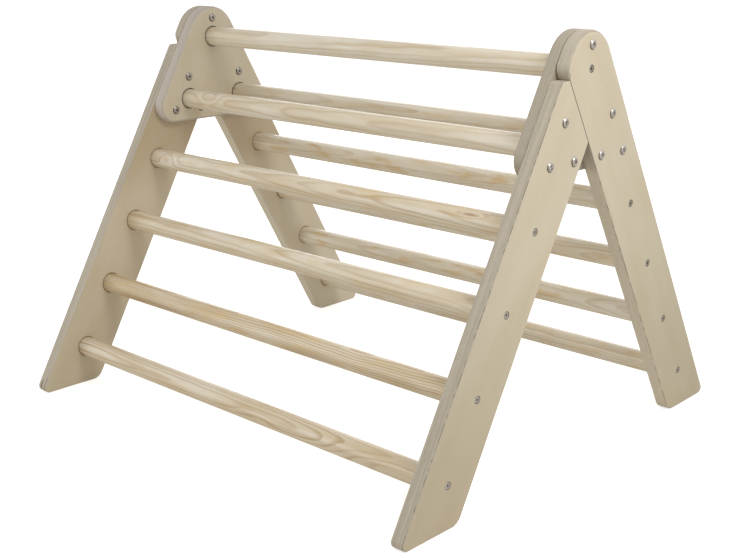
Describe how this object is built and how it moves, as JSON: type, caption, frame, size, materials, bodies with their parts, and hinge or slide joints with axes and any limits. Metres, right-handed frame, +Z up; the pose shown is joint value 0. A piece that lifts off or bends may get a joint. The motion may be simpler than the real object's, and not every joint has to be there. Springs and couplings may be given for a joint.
{
  "type": "folding climbing triangle",
  "caption": "Small wooden climbing triangle for toddlers: plywood legs in an A, round rungs between them, and shoulder plates on which the front ladder folds.",
  "frame": {"origin": "on the floor, in the middle of the footprint", "axes": "+X along the rungs, from the left side frame to the right; +Y from the front ladder, which folds, to the back ladder; +Z up"},
  "size_m": [0.7172, 0.648, 0.535],
  "materials": {
    "birch_ply": "clear matte lacquer on birch plywood, plies showing on the edges",
    "pine": "clear matte lacquer on turned solid pine",
    "zinc": "bright zinc-plated steel"
  },
  "bodies": {
    "back_frame": {"left_back_leg": "birch_ply", "right_back_leg": "birch_ply", "left_shoulder_plate": "birch_ply", "right_shoulder_plate": "birch_ply", "top_rung": "pine", "front_shoulder_rung": "pine", "back_shoulder_rung": "pine", "back_rung_1": "pine", "back_rung_2": "pine", "back_rung_3": "pine", "back_rung_4": "pine", "back_rung_screws": "zinc", "top_rung_screws": "zinc", "shoulder_rung_screws": "zinc", "back_bolts": "zinc", "back_sleeve_nuts": "zinc", "front_lock_nuts": "zinc", "pivot_bolts": "zinc", "pivot_sleeves": "zinc"},
    "front_ladder": {"left_front_leg": "birch_ply", "right_front_leg": "birch_ply", "front_rung_1": "pine", "front_rung_2": "pine", "front_rung_3": "pine", "front_rung_4": "pine", "front_rung_screws": "zinc", "front_lock_bolts": "zinc"}
  },
  "joints": [
    {"name": "fold", "type": "hinge", "parent": "back_frame", "child": "front_ladder", "pos_m": [0, -0.02837, 0.3867], "axis": [1, 0, 0], "range_deg": [0, 59]}
  ]
}
